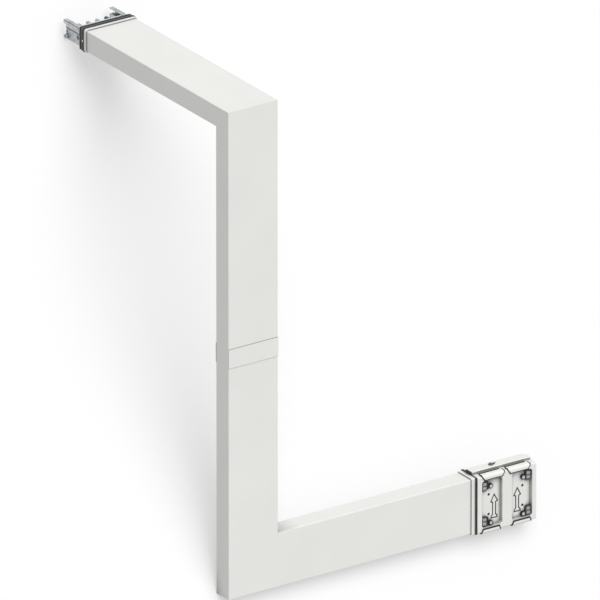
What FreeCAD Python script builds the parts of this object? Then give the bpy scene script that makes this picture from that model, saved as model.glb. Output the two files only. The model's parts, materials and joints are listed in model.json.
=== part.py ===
import FreeCAD, Part
import Sketcher
import math
import os
import re

# A double elbow of busway, modelled as it hangs: X along the lower leg, Y along the
# upper leg, Z up, with the zero point where the vertical and lower centre lines cross.
# One shared placement at the end lays every piece down as the elbow rests on a floor.

# Driving dimensions in millimetres
SIZES = {
    # Casing section and the three runs of its centre line
    "section_width": 146,
    "section_depth": 55,
    "sheet_gauge": 1.5,
    "fold_radius": 2,
    "rise": 1200,
    "upper_run": 594,
    "lower_run": 659,
    "splice_level": 572,
    "splice_height": 50,
    "splice_gauge": 1.5,
    # Conductors
    "bar_thickness": 7,
    "bar_depth": 41,
    "bar_pitch": 27,
    "bar_reach": 39,
    "bar_stop": 795,
    "bend_radius": 10,
    # Bar end: collar, gasket with two lips, insulating carrier
    "frame_proud": 3,
    "frame_corner": 6,
    "collar_length": 9,
    "gasket_length": 19,
    "gasket_lip": 6,
    "gasket_groove": 2.2,
    "gasket_proud": 4.2,
    "carrier_back": 564,
    "carrier_step": 2,
    "nose_reach": 23,
    "nose_half": 21.5,
    # Guide rails
    "rail_reach": 75,
    "rail_gauge": 2,
    "rail_top": 23.8,
    "rail_flange": 11.4,
    "rail_strip": 17.3,
    "rail_jog": 8,
    "rail_web": 52,
    "notch_drop": 9,
    "notch_length": 11,
    "pin_radius": 5.8,
    "pin_reach": 7.3,
    "pin_bore": 2.2,
    "pin_setback": 6,
    "pin_rise": 9,
    "eye_radius": 5.5,
    "eye_setback": 22,
    "eye_rise": 19,
    "tongue_low": 16,
    "tongue_high": 15,
    "tongue_tip": 61,
    "earth_length": 33,
    "earth_width": 12.5,
    "earth_half": 17,
    "earth_slit": 1.8,
    "earth_slit_pitch": 3.4,
    "earth_slit_depth": 14,
    # Joint unit
    "joint_start": 663,
    "joint_length": 176.5,
    "joint_half": 76,
    "joint_front": 33.5,
    "joint_wall": 3,
    "front_wall": 9,
    "cover_round": 4,
    "back_round": 3,
    "joint_collar_length": 11,
    "seal_proud": 0.8,
    "seal_inset": 0.5,
    "seal_step": 2.4,
    "ridge_front": 8,
    "ridge_back": 12,
    "ridge_height": 7,
    "ridge_bevel": 1.5,
    "window_first": 707.7,
    "window_pitch": 89.4,
    "window_width": 61,
    "window_half": 63,
    "window_draft": 1.8,
    "window_corner": 7,
    "pan_gauge": 2.5,
    "pan_width": 60,
    "pan_half": 61.5,
    # Clips over the covers' upper and under edges, and the screws, holes and keepers of the windows
    "clip_gauge": 3,
    "hook_first": 710,
    "hook_pitch": 77,
    "hook_width": 63,
    "hook_taper": 6,
    "under_first": 703.3,
    "under_pitch": 91.5,
    "under_width": 53.5,
    "under_taper": 4,
    "clip_foot": 67.5,
    "slot_back": 10,
    "screw_first": 706,
    "screw_pitch": 97.2,
    "screw_level": 5.45,
    "screw_spread": 49.35,
    "head_radius": 6.2,
    "head_height": 7,
    "head_bevel": 1.5,
    "shank_radius": 4,
    "hole_first": 703,
    "hole_pitch": 101,
    "hole_level": 6.8,
    "hole_spread": 26.4,
    "hole_radius": 3.5,
    "keeper_width": 16,
    "keeper_half": 12.5,
    "keeper_height": 6,
    "keeper_round": 3,
    "keeper_corner": 7.5,
    "keeper_level": 1.05,
    "keeper_spread": 47.65,
    # Contact block, spring leaves and stud
    "block_back": 625,
    "block_end": 757,
    "block_half": 61,
    "leaf_gauge": 1.5,
    "leaf_half": 16,
    "leaf_end": 814,
    "stud_place": 728.6,
    "stud_setback": 5,
    "stud_radius": 5.3,
    "stud_height": 4.5,
    "stud_round": 1.5,
}

# Words used again and again in the outlines below
HALF_W = "section_width / 2"
HALF_D = "section_depth / 2"
GASKET_START = "upper_run + collar_length"
RAIL_START = "upper_run + collar_length + gasket_length"
PAN_FACE = "-joint_front + front_wall"

# Like items, counted from one; the bars share five places with the earth contact, which has the last
BARS = (1, 2, 3, 4)
MIDDLE_PLACE = 3
CORNERS = (1, 2, 3, 4)
EARTH_SLITS = (1, 2, 3)

# How far the inner side of a sheet folded by 45 degrees runs past its outer side, for each gauge
FOLD_LEAN = round(math.tan(math.radians(45) / 2), 4)

# Smallest pocket in cubic millimetres, and rounds in which the three feet come level
LEAST_CUT = 1
LEVEL_ROUNDS = 10

doc = FreeCAD.newDocument("busway_elbow")
sheet = doc.addObject("Spreadsheet::Sheet", "Sizes")
for row, (name, size) in enumerate(SIZES.items(), 1):
    sheet.set(f"A{row}", name)
    sheet.set(f"B{row}", str(size))
    sheet.setAlias(f"B{row}", name)
doc.recompute()

PLANES = {"X": "YZ_Plane", "Y": "XZ_Plane", "Z": "XY_Plane"}
pieces = []
spots = {}


# Sizes as expressions
def bound(text):
    """Expression in which every size name is led by the sheet's name."""
    return re.sub(r"[a-z]\w*", r"Sizes.\g<0>", text)


def number(text):
    """Present value of an expression of size names."""
    return float(sheet.evalExpression(bound(text)))


# Bodies, sketches and features
def new_body(label, spot=("0", "0", "0")):
    """Body for one piece, placed at a spot of the elbow given by three expressions."""
    body = doc.addObject("PartDesign::Body", label)
    body.Label = label
    pieces.append(body)
    spots[label] = FreeCAD.Vector(*[number(text) for text in spot])
    return body


def rectangle(low_x, low_y, high_x, high_y):
    """Corner expressions of an upright rectangle."""
    return [(low_x, low_y), (high_x, low_y), (high_x, high_y), (low_x, high_y)]


def corner_of(index):
    """Window column (0 left, 1 right) and level (1 top, -1 bottom) of items counted from one."""
    return (index - 1) % 2, 1 if index <= 2 else -1


def mirrored(outline, side):
    """Outline with its first coordinate multiplied by a sign."""
    return [(f"{side} * ({x})", y) for x, y in outline]


def add_polygon(sketch, corners):
    """Closed run of lines whose corners are tied to the sheet."""
    points = [FreeCAD.Vector(number(x), number(y), 0) for x, y in corners]
    first = sketch.GeometryCount
    count = len(points)
    for here in range(count):
        sketch.addGeometry(Part.LineSegment(points[here], points[(here + 1) % count]), False)
    for here in range(count):
        after = first + (here + 1) % count
        sketch.addConstraint(Sketcher.Constraint("Coincident", first + here, 2, after, 1))
    for here, (x, y) in enumerate(corners):
        for kind, value, text in (("DistanceX", points[here].x, x), ("DistanceY", points[here].y, y)):
            tie = sketch.addConstraint(Sketcher.Constraint(kind, -1, 1, first + here, 1, value))
            sketch.setExpression(f"Constraints[{tie}]", bound(text))


def add_circle(sketch, x, y, radius):
    """Circle whose centre and radius are tied to the sheet."""
    centre = FreeCAD.Vector(number(x), number(y), 0)
    ring = sketch.addGeometry(Part.Circle(centre, FreeCAD.Vector(0, 0, 1), number(radius)), False)
    for kind, value, text in (("DistanceX", centre.x, x), ("DistanceY", centre.y, y)):
        tie = sketch.addConstraint(Sketcher.Constraint(kind, -1, 1, ring, 3, value))
        sketch.setExpression(f"Constraints[{tie}]", bound(text))
    tie = sketch.addConstraint(Sketcher.Constraint("Radius", ring, number(radius)))
    sketch.setExpression(f"Constraints[{tie}]", bound(radius))


def new_sketch(body, axis, start, outlines):
    """Sketch across an axis, moved along it to a start; triples are circles, lists are polygons."""
    sketch = body.newObject("Sketcher::SketchObject", "Outline")
    plane = [item for item in body.Origin.OriginFeatures if item.Role == PLANES[axis]][0]
    sketch.AttachmentSupport = [(plane, "")]
    sketch.MapMode = "FlatFace"
    facing = "-1" if axis == "Y" else "1"
    sketch.setExpression("AttachmentOffset.Base.z", bound(f"{facing} * ({start})"))
    for outline in outlines:
        if isinstance(outline, tuple):
            add_circle(sketch, *outline)
        else:
            add_polygon(sketch, outline)
    return sketch


def extrude(body, axis, start, length, *outlines, cut=False, draft=None):
    """Pad, or pocket if cut, of the outlines from a start along the plus direction of an axis."""
    sketch = new_sketch(body, axis, start, outlines)
    before = body.Shape.Volume if cut else 0
    feature = body.newObject("PartDesign::Pocket" if cut else "PartDesign::Pad", "Prism")
    feature.Profile = sketch
    feature.setExpression("Length", bound(length))
    feature.Reversed = (axis == "Y") != cut
    if draft is not None:
        feature.TaperAngle = draft
    doc.recompute()
    if cut and before - body.Shape.Volume < LEAST_CUT:
        raise RuntimeError(f"{body.Label}: a pocket cut nothing")
    return feature


def turn(body, plane_axis, outline):
    """Solid of revolution of a half outline about the upright axis of its sketch."""
    sketch = new_sketch(body, plane_axis, "0", [outline])
    feature = body.newObject("PartDesign::Revolution", "Turned")
    feature.Profile = sketch
    feature.ReferenceAxis = (sketch, ["V_Axis"])
    feature.Angle = 360
    doc.recompute()


def ease_edges(body, size, test, kind="Fillet"):
    """Fillet or chamfer of every edge of the body that a test picks."""
    base = body.Tip
    names = [f"Edge{n}" for n, edge in enumerate(base.Shape.Edges, 1) if test(edge)]
    feature = body.newObject(f"PartDesign::{kind}", kind)
    feature.Base = (base, names)
    feature.setExpression("Radius" if kind == "Fillet" else "Size", bound(size))
    doc.recompute()
    if "Invalid" in feature.State:
        raise RuntimeError(f"{body.Label}: {kind} failed on {names}")


def near(first, second):
    """True where two lengths agree to a hundredth of a millimetre."""
    return abs(first - second) < 0.01


def runs_along(edge, axis):
    """True for a straight edge along X, Y or Z."""
    if not isinstance(edge.Curve, Part.Line):
        return False
    return abs(getattr(edge.Curve.Direction, axis)) > 0.999


def edges_on(axis, places):
    """Test that picks edges along an axis through any of the given places in the other two."""
    others = [letter for letter in "xyz" if letter != axis]
    targets = [tuple(number(text) for text in place) for place in places]

    def test(edge):
        if not runs_along(edge, axis):
            return False
        middle = edge.CenterOfMass
        here = [getattr(middle, letter) for letter in others]
        return any(near(here[0], first) and near(here[1], second) for first, second in targets)

    return test


# Casings: hollow folded-sheet elbows
def casing_rim(side_axis, half, end_axis, end, splice):
    """Test that picks the long edges of an L-shaped casing and leaves its open ends sharp."""
    def test(edge):
        middle = edge.CenterOfMass
        if not near(abs(getattr(middle, side_axis)), half):
            return False
        at_end = runs_along(edge, "z") and near(getattr(middle, end_axis), end)
        return not at_end and not near(middle.z, splice)

    return test


def upper_casing():
    body = new_body("upper_casing")

    def outline(inset):
        return [(f"-{HALF_D} + {inset}", "splice_level"),
                (f"{HALF_D} - {inset}", "splice_level"),
                (f"{HALF_D} - {inset}", f"rise - {HALF_D} + {inset}"),
                ("upper_run", f"rise - {HALF_D} + {inset}"),
                ("upper_run", f"rise + {HALF_D} - {inset}"),
                (f"-{HALF_D} + {inset}", f"rise + {HALF_D} - {inset}")]

    extrude(body, "X", f"-{HALF_W}", "section_width", outline("0"))
    rim = casing_rim("x", number(HALF_W), "y", number("upper_run"), number("splice_level"))
    ease_edges(body, "fold_radius", rim)
    hollow = "section_width - 2 * sheet_gauge"
    extrude(body, "X", f"-{HALF_W} + sheet_gauge", hollow, outline("sheet_gauge"), cut=True)


def lower_casing():
    body = new_body("lower_casing")

    def outline(inset):
        return [(f"-{HALF_W} + {inset}", "splice_level"),
                (f"-{HALF_W} + {inset}", f"-{HALF_W} + {inset}"),
                ("lower_run", f"-{HALF_W} + {inset}"),
                ("lower_run", f"{HALF_W} - {inset}"),
                (f"{HALF_W} - {inset}", f"{HALF_W} - {inset}"),
                (f"{HALF_W} - {inset}", "splice_level")]

    extrude(body, "Y", f"-{HALF_D}", "section_depth", outline("0"))
    rim = casing_rim("y", number(HALF_D), "x", number("lower_run"), number("splice_level"))
    ease_edges(body, "fold_radius", rim)
    hollow = "section_depth - 2 * sheet_gauge"
    extrude(body, "Y", f"-{HALF_D} + sheet_gauge", hollow, outline("sheet_gauge"), cut=True)


def splice_plate(label, start):
    body = new_body(label)
    low = "splice_level - splice_height / 2"
    high = "splice_level + splice_height / 2"
    extrude(body, "Y", start, "splice_gauge", rectangle(f"-{HALF_W}", low, HALF_W, high))


# Conductors: flat bars, flatwise elbow above and easy-way bend below
def bar_place(index):
    """Distance of a bar from the middle of the section, bars counted from one."""
    return f"({index} - {MIDDLE_PLACE}) * bar_pitch"


def conductor(index):
    body = new_body(f"conductor_{index}")
    low = f"{bar_place(index)} - bar_thickness / 2"
    high = f"{bar_place(index)} + bar_thickness / 2"
    tip = f"{RAIL_START} + bar_reach"
    above = [("-bar_depth / 2", "splice_level"), ("bar_depth / 2", "splice_level"),
             ("bar_depth / 2", "rise - bar_depth / 2"), (tip, "rise - bar_depth / 2"),
             (tip, "rise + bar_depth / 2"), ("-bar_depth / 2", "rise + bar_depth / 2")]
    below = [(low, "splice_level"), (low, low), ("bar_stop", low),
             ("bar_stop", high), (high, high), (high, "splice_level")]
    extrude(body, "X", low, "bar_thickness", above)
    extrude(body, "Y", "-bar_depth / 2", "bar_depth", below)
    ease_edges(body, "bend_radius", edges_on("y", [(high, high)]))
    ease_edges(body, "bend_radius + bar_thickness", edges_on("y", [(low, low)]))


# Bar end: collar, lipped gasket and carrier
def frame_ring(body, start, length, proud, inner_w, inner_d, corner):
    """Ring round the upper leg: casing outline grown by proud, with a rectangular hole."""
    outer_w = f"{HALF_W} + {proud}"
    outer_d = f"{HALF_D} + {proud}"
    outer = rectangle(f"-({outer_w})", f"rise - ({outer_d})", outer_w, f"rise + {outer_d}")
    inner = rectangle(f"-({inner_w})", f"rise - ({inner_d})", inner_w, f"rise + {inner_d}")
    extrude(body, "Y", start, length, outer, inner)
    places = [(f"{side} * ({outer_w})", f"rise + {level} * ({outer_d})")
              for side in (-1, 1) for level in (-1, 1)]
    ease_edges(body, corner, edges_on("y", places))


def bar_end_collar():
    body = new_body("bar_end_collar")
    inner_w = f"{HALF_W} - sheet_gauge"
    inner_d = f"{HALF_D} - sheet_gauge"
    frame_ring(body, "upper_run", "collar_length", "frame_proud", inner_w, inner_d, "frame_corner")


def bar_end_gasket():
    body = new_body("bar_end_gasket")
    inner_w = f"{HALF_W} - sheet_gauge - carrier_step"
    inner_d = f"{HALF_D} - sheet_gauge - carrier_step"
    lip = "gasket_proud"
    second = f"{GASKET_START} + gasket_length - gasket_lip"
    groove = f"{GASKET_START} + gasket_lip"
    groove_length = "gasket_length - 2 * gasket_lip"
    frame_ring(body, GASKET_START, "gasket_lip", lip, inner_w, inner_d, "frame_corner")
    frame_ring(body, groove, groove_length, f"{lip} - gasket_groove", inner_w, inner_d,
               "frame_corner - gasket_groove")
    frame_ring(body, second, "gasket_lip", f"{lip} - gasket_groove / 2", inner_w, inner_d,
               "frame_corner - gasket_groove / 2")


def tongue_outline(side):
    """Section of a rail's tongue, which the carrier holds, on the left or right side."""
    outer = f"-{HALF_W} + rail_jog"
    inner = f"-{HALF_W} + rail_jog + rail_gauge"
    return mirrored(rectangle(outer, "rise - tongue_low", inner, "rise + tongue_high"), side)


def bar_carrier():
    body = new_body("bar_carrier")

    def section(inset):
        half_w = f"{HALF_W} - {inset}"
        half_d = f"{HALF_D} - {inset}"
        return rectangle(f"-({half_w})", f"rise - ({half_d})", half_w, f"rise + {half_d}")

    extrude(body, "Y", "carrier_back", f"{GASKET_START} - carrier_back", section("sheet_gauge"))
    extrude(body, "Y", GASKET_START, "gasket_length", section("(sheet_gauge + carrier_step)"))
    nose_width = f"{HALF_W} - rail_jog - rail_gauge"
    nose = rectangle(f"-({nose_width})", "rise - nose_half", nose_width, "rise + nose_half")
    extrude(body, "Y", RAIL_START, "nose_reach", nose)
    slots = [rectangle(f"{bar_place(index)} - bar_thickness / 2", "rise - bar_depth / 2",
                       f"{bar_place(index)} + bar_thickness / 2", "rise + bar_depth / 2")
             for index in BARS]
    slots += [tongue_outline(side) for side in (-1, 1)]
    extrude(body, "Y", "carrier_back", f"{RAIL_START} + nose_reach - carrier_back", *slots, cut=True)


def guide_rail(label, side):
    """Folded channel with a jogged web, a hollow pin at its end and a tongue in the carrier."""
    body = new_body(label)
    outer = f"-{HALF_W}"
    top = "rise + rail_top"
    lean = f"rail_gauge * {FOLD_LEAN}"
    section = [(f"{outer} + rail_flange", top), (outer, top),
               (outer, f"{top} - rail_strip"),
               (f"{outer} + rail_jog", f"{top} - rail_strip - rail_jog"),
               (f"{outer} + rail_jog", f"{top} - rail_web"),
               (f"{outer} + rail_jog + rail_gauge", f"{top} - rail_web"),
               (f"{outer} + rail_jog + rail_gauge", f"{top} - rail_strip - rail_jog + {lean}"),
               (f"{outer} + rail_gauge", f"{top} - rail_strip + {lean}"),
               (f"{outer} + rail_gauge", f"{top} - rail_gauge"),
               (f"{outer} + rail_flange", f"{top} - rail_gauge")]
    extrude(body, "Y", RAIL_START, "rail_reach", mirrored(section, side))
    tongue_length = f"{RAIL_START} + tongue_tip - carrier_back"
    extrude(body, "Y", "carrier_back", tongue_length, tongue_outline(side))
    end = f"{RAIL_START} + rail_reach"
    notch = rectangle(outer, f"{top} - rail_strip - rail_jog", f"{outer} + rail_jog", f"{top} - notch_drop")
    extrude(body, "Y", f"{end} - notch_length", "notch_length", mirrored(notch, side), cut=True)
    pin_start = f"{outer} + rail_jog - pin_reach" if side > 0 else f"{HALF_W} - rail_jog"
    web_start = f"{outer} + rail_jog" if side > 0 else f"{HALF_W} - rail_jog - rail_gauge"
    foot = f"{top} - rail_web"
    pin = (f"{end} - pin_setback", f"{foot} + pin_rise")
    eye = (f"{RAIL_START} + eye_setback", f"{foot} + eye_rise")
    extrude(body, "X", pin_start, "pin_reach", (*pin, "pin_radius"))
    extrude(body, "X", min(pin_start, web_start, key=number), "pin_reach + rail_gauge", (*pin, "pin_bore"),
            cut=True)
    extrude(body, "X", web_start, "rail_gauge", (*eye, "eye_radius"), cut=True)


def earth_contact():
    """Block of upright leaves on the inner side of the right rail's tongue."""
    body = new_body("earth_contact")
    inner = f"{HALF_W} - rail_jog - rail_gauge"
    outer = f"{inner} - earth_width"
    start = f"{RAIL_START} + nose_reach"
    block = rectangle(outer, "rise - earth_half", inner, "rise + earth_half")
    extrude(body, "Y", start, "earth_length", block)
    slits = []
    for index in EARTH_SLITS:
        high = f"{outer} + {index} * earth_slit_pitch"
        slits.append(rectangle(f"{high} - earth_slit", "rise + earth_half - earth_slit_depth",
                               high, "rise + earth_half"))
    extrude(body, "Y", start, "earth_length", *slits, cut=True)


# Joint unit: collar, seal and the two covers
def joint_collar():
    body = new_body("joint_collar")
    outer = rectangle(f"-{HALF_D} - frame_proud", "-joint_half", f"{HALF_D} + frame_proud", "joint_half")
    inner = rectangle(f"-{HALF_D}", f"-{HALF_W}", HALF_D, HALF_W)
    extrude(body, "X", "lower_run - joint_collar_length", "joint_collar_length", outer, inner)
    places = [(f"{side} * ({HALF_D} + frame_proud)", f"{level} * joint_half")
              for side in (-1, 1) for level in (-1, 1)]
    ease_edges(body, "frame_proud", edges_on("x", places))


def joint_gasket():
    """Flat seal with a tab that follows the section of the ridge and steps down behind it."""
    body = new_body("joint_gasket")
    front = "-joint_front - seal_proud"
    back = "joint_front - seal_inset"
    edge = "joint_half + seal_proud"
    crest = "joint_half + ridge_height + seal_proud"
    step = "joint_half + seal_step"
    outer = [(front, f"-({edge})"), (back, f"-({edge})"), (back, step),
             ("ridge_back + seal_proud", step), ("ridge_back + seal_proud", crest),
             ("-ridge_front - seal_proud", crest), ("-ridge_front - seal_proud", edge), (front, edge)]
    half_d = f"{HALF_D} - sheet_gauge"
    half_w = f"{HALF_W} - sheet_gauge"
    inner = rectangle(f"-({half_d})", f"-({half_w})", half_d, half_w)
    extrude(body, "X", "lower_run", "joint_start - lower_run", outer, inner)
    places = [(front, f"-({edge})"), (front, edge), (back, f"-({edge})"), (back, step)]
    ease_edges(body, "cover_round", edges_on("x", places))


def window_middle(column):
    """Place along the joint unit of the middle of the left (0) or right (1) window."""
    return f"window_first + {column} * window_pitch"


def joint_front_cover():
    """Thick frame with two recessed pans, whose walls lean outwards."""
    body = new_body("joint_front_cover")
    face = rectangle("joint_start", "-joint_half", "joint_start + joint_length", "joint_half")
    extrude(body, "Y", "-joint_front", "front_wall", face)
    ease_edges(body, "cover_round", edges_on("x", [("-joint_front", "-joint_half"),
                                                  ("-joint_front", "joint_half")]))
    floors = []
    windows = []
    holes = []
    for column in range(2):
        middle = window_middle(column)
        floors.append(rectangle(f"{middle} - pan_width / 2", "-pan_half",
                                f"{middle} + pan_width / 2", "pan_half"))
        windows.append(rectangle(f"{middle} - window_width / 2", "-window_half",
                                 f"{middle} + window_width / 2", "window_half"))
        for level in (-1, 1):
            holes.append((f"screw_first + {column} * screw_pitch",
                          f"{level} * screw_spread - screw_level", "shank_radius"))
            holes.append((f"hole_first + {column} * hole_pitch",
                          f"{level} * hole_spread - hole_level", "hole_radius"))
    extrude(body, "Y", PAN_FACE, "pan_gauge", *floors)
    lean = math.degrees(math.atan2(number("window_draft"), number("front_wall")))
    extrude(body, "Y", "-joint_front", "front_wall", *windows, cut=True, draft=-lean)
    inside = number("joint_half - cover_round")
    mid_wall = number("-joint_front + front_wall / 2")

    def window_corner(edge):
        middle = edge.CenterOfMass
        return near(middle.y, mid_wall) and abs(middle.z) < inside

    ease_edges(body, "window_corner", window_corner)
    extrude(body, "Y", PAN_FACE, "pan_gauge", *holes, cut=True)


def clip_span(column, level):
    """Start, width and taper of a clip: those under the joint unit are shorter and wider apart."""
    word = "hook" if level > 0 else "under"
    start = f"{word}_first + {column} * {word}_pitch - {word}_width / 2"
    return start, f"{word}_width", f"{word}_taper"


def joint_back_cover():
    """Channel that closes the back, top and bottom, with a ridge along the top and slots for the clips."""
    body = new_body("joint_back_cover")
    seam = PAN_FACE
    section = [(seam, "joint_half"), ("-ridge_front", "joint_half"),
               ("-ridge_front", "joint_half + ridge_height"),
               ("ridge_back", "joint_half + ridge_height"), ("ridge_back", "joint_half"),
               ("joint_front", "joint_half"), ("joint_front", "-joint_half"), (seam, "-joint_half"),
               (seam, "-joint_half + joint_wall"), ("joint_front - joint_wall", "-joint_half + joint_wall"),
               ("joint_front - joint_wall", "joint_half - joint_wall"), (seam, "joint_half - joint_wall")]
    extrude(body, "X", "joint_start", "joint_length", section)
    ease_edges(body, "back_round", edges_on("x", [("joint_front", "-joint_half"),
                                                 ("joint_front", "joint_half")]))
    crest = "joint_half + ridge_height"
    ease_edges(body, "ridge_bevel", edges_on("x", [("-ridge_front", crest), ("ridge_back", crest)]),
               kind="Chamfer")
    for level, wall_start in ((-1, "-joint_half"), (1, "joint_half - joint_wall")):
        slots = []
        for column in range(2):
            start, width, taper = clip_span(column, level)
            slots.append(rectangle(start, seam, f"{start} + {width}", "-slot_back"))
        extrude(body, "Z", wall_start, "joint_wall", *slots, cut=True)


# Clips that tie the covers together, and what sits in the windows
def cover_clip(index):
    """Folded clip round the front cover's edge, with a lip in the back cover's slot and a tapered flange."""
    column, level = corner_of(index)
    body = new_body(f"cover_clip_{index}")
    front = "-joint_front"
    tip = f"{level} * (joint_half - joint_wall)"
    crest = f"{level} * (joint_half + clip_gauge)"
    foot = f"{level} * clip_foot"
    edge = f"{level} * joint_half"
    lip = f"{PAN_FACE} + clip_gauge"
    section = [(PAN_FACE, tip), (PAN_FACE, edge), (front, edge), (front, foot),
               (f"{front} - clip_gauge", foot), (f"{front} - clip_gauge", crest), (lip, crest), (lip, tip)]
    start, width, taper = clip_span(column, level)
    extrude(body, "X", start, width, section)
    ease_edges(body, "cover_round", edges_on("x", [(front, edge)]))
    ease_edges(body, "cover_round + clip_gauge", edges_on("x", [(f"{front} - clip_gauge", crest)]))
    end = f"{start} + {width}"
    tapers = [[(start, foot), (f"{start} + {taper}", foot), (start, edge)],
              [(end, foot), (f"{end} - {taper}", foot), (end, edge)]]
    extrude(body, "Y", f"{front} - clip_gauge", "clip_gauge", *tapers, cut=True)


def captive_screw(index):
    """Screw turned about its own Y axis; its head stands on the pan and its shank passes it."""
    column, level = corner_of(index)
    spot = (f"screw_first + {column} * screw_pitch", PAN_FACE, f"{level} * screw_spread - screw_level")
    body = new_body(f"captive_screw_{index}", spot)
    half = [("0", "-head_height"), ("head_radius - head_bevel", "-head_height"),
            ("head_radius", "-head_height + head_bevel"), ("head_radius", "0"),
            ("shank_radius", "0"), ("shank_radius", "pan_gauge"), ("0", "pan_gauge")]
    turn(body, "Z", half)


def screw_keeper(index):
    """Rounded lug in the outer corner of a window, beside its screw."""
    column, level = corner_of(index)
    side = -1 if column == 0 else 1
    wall = f"{window_middle(column)} + {side} * (window_width / 2 - window_draft)"
    spot = (f"{wall} - {side} * keeper_width / 2", PAN_FACE, f"{level} * keeper_spread - keeper_level")
    body = new_body(f"screw_keeper_{index}", spot)
    block = rectangle("-keeper_width / 2", "-keeper_half", "keeper_width / 2", "keeper_half")
    extrude(body, "Y", "-keeper_height", "keeper_height", block)
    outer_corner = (f"{side} * keeper_width / 2", f"{level} * keeper_half")
    ease_edges(body, "keeper_corner", edges_on("y", [outer_corner]))
    inner_side = -side * number("keeper_width / 2")

    def free_rim(edge):
        middle = edge.CenterOfMass
        return near(middle.x, inner_side) and not near(middle.y, 0)

    ease_edges(body, "keeper_round", free_rim)


# Contacts inside the joint unit
def contact_block():
    body = new_body("contact_block")
    half_d = f"{HALF_D} - sheet_gauge"
    half_w = f"{HALF_W} - sheet_gauge"
    spigot = rectangle(f"-({half_d})", f"-({half_w})", half_d, half_w)
    main = rectangle(f"{PAN_FACE} + pan_gauge", "-block_half", "joint_front - joint_wall", "block_half")
    extrude(body, "X", "block_back", "joint_start - block_back", spigot)
    extrude(body, "X", "joint_start", "block_end - joint_start", main)
    slots = [rectangle("-bar_depth / 2", f"{bar_place(index)} - bar_thickness / 2",
                       "bar_depth / 2", f"{bar_place(index)} + bar_thickness / 2")
             for index in BARS]
    extrude(body, "X", "block_back", "block_end - block_back", *slots, cut=True)


def contact_leaf(index, side, word):
    body = new_body(f"contact_leaf_{index}_{word}")
    inner = f"{bar_place(index)} + {side} * bar_thickness / 2"
    outer = f"{inner} + {side} * leaf_gauge"
    low, high = (outer, inner) if side < 0 else (inner, outer)
    leaf = rectangle("-leaf_half", low, "leaf_half", high)
    extrude(body, "X", "block_end", "leaf_end - block_end", leaf)


def ridge_stud():
    body = new_body("ridge_stud", ("stud_place", "stud_setback", "joint_half + ridge_height"))
    half = [("0", "0"), ("stud_radius", "0"), ("stud_radius", "stud_height - stud_round"),
            ("stud_radius - stud_round", "stud_height"), ("0", "stud_height")]
    turn(body, "Y", half)


# How the elbow lies: on its heel, on the joint unit's back edge and on the left rail's end
def lying_turn():
    """Turn that brings the three feet level; a rounded edge touches at its centre less its radius."""
    fold = number("fold_radius")
    cover = number("back_round")
    feet = [(FreeCAD.Vector(-number(HALF_W) + fold, number(HALF_D) - fold, -number(HALF_W) + fold), fold),
            (FreeCAD.Vector(number("joint_start + joint_length"), number("joint_front") - cover,
                            -number("joint_half") + cover), cover),
            (FreeCAD.Vector(-number(f"{HALF_W} - rail_jog"), number(f"{RAIL_START} + rail_reach"),
                            number("rise + rail_top - rail_web")), 0)]
    up = FreeCAD.Vector(0, -1, 1)
    for step in range(LEVEL_ROUNDS):
        heel, joint, rail = [centre - up * radius for centre, radius in feet]
        along = (joint - heel).normalize()
        up = along.cross(rail - heel).normalize()
    return FreeCAD.Rotation(along, up.cross(along), up, "XZY").inverted()


def lay_down():
    """Gives every piece the shared lying placement, centred over the floor's zero point."""
    turn = FreeCAD.Placement(FreeCAD.Vector(), lying_turn())
    whole = FreeCAD.BoundBox()
    for body in pieces:
        body.Placement = turn * FreeCAD.Placement(spots[body.Label], FreeCAD.Rotation())
        whole.add(body.Shape.optimalBoundingBox(False))
    shift = FreeCAD.Placement(FreeCAD.Vector(-whole.Center.x, -whole.Center.y, -whole.ZMin),
                              FreeCAD.Rotation())
    for body in pieces:
        body.Placement = shift * body.Placement
    doc.recompute()
    print("lying box", [round(size, 2) for size in (whole.XLength, whole.YLength, whole.ZLength)])
    print("shared placement", shift * turn)


def write_pieces():
    """Checks every object and writes each piece to a file of its own."""
    for item in doc.Objects:
        if "Invalid" in item.State or "Error" in item.State:
            raise RuntimeError(f"{item.Label} failed: {item.State}")
    for body in pieces:
        if body.Shape.isNull() or not body.Shape.isValid() or len(body.Shape.Solids) != 1:
            raise RuntimeError(f"{body.Label} is not one sound solid")
    os.makedirs("parts", exist_ok=True)
    for body in pieces:
        body.Shape.exportStep(f"parts/{body.Label}.step")
    print(len(pieces), "pieces written")


upper_casing()
lower_casing()
splice_plate("front_splice_plate", f"-{HALF_D} - splice_gauge")
splice_plate("back_splice_plate", HALF_D)
for number_of_bar in BARS:
    conductor(number_of_bar)
bar_end_collar()
bar_end_gasket()
bar_carrier()
guide_rail("left_guide_rail", 1)
guide_rail("right_guide_rail", -1)
earth_contact()
joint_collar()
joint_gasket()
joint_front_cover()
joint_back_cover()
for number_of_corner in CORNERS:
    cover_clip(number_of_corner)
    captive_screw(number_of_corner)
    screw_keeper(number_of_corner)
contact_block()
for number_of_bar in BARS:
    contact_leaf(number_of_bar, -1, "low")
    contact_leaf(number_of_bar, 1, "high")
ridge_stud()
lay_down()
write_pieces()
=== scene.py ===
# %% [markdown]
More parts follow.
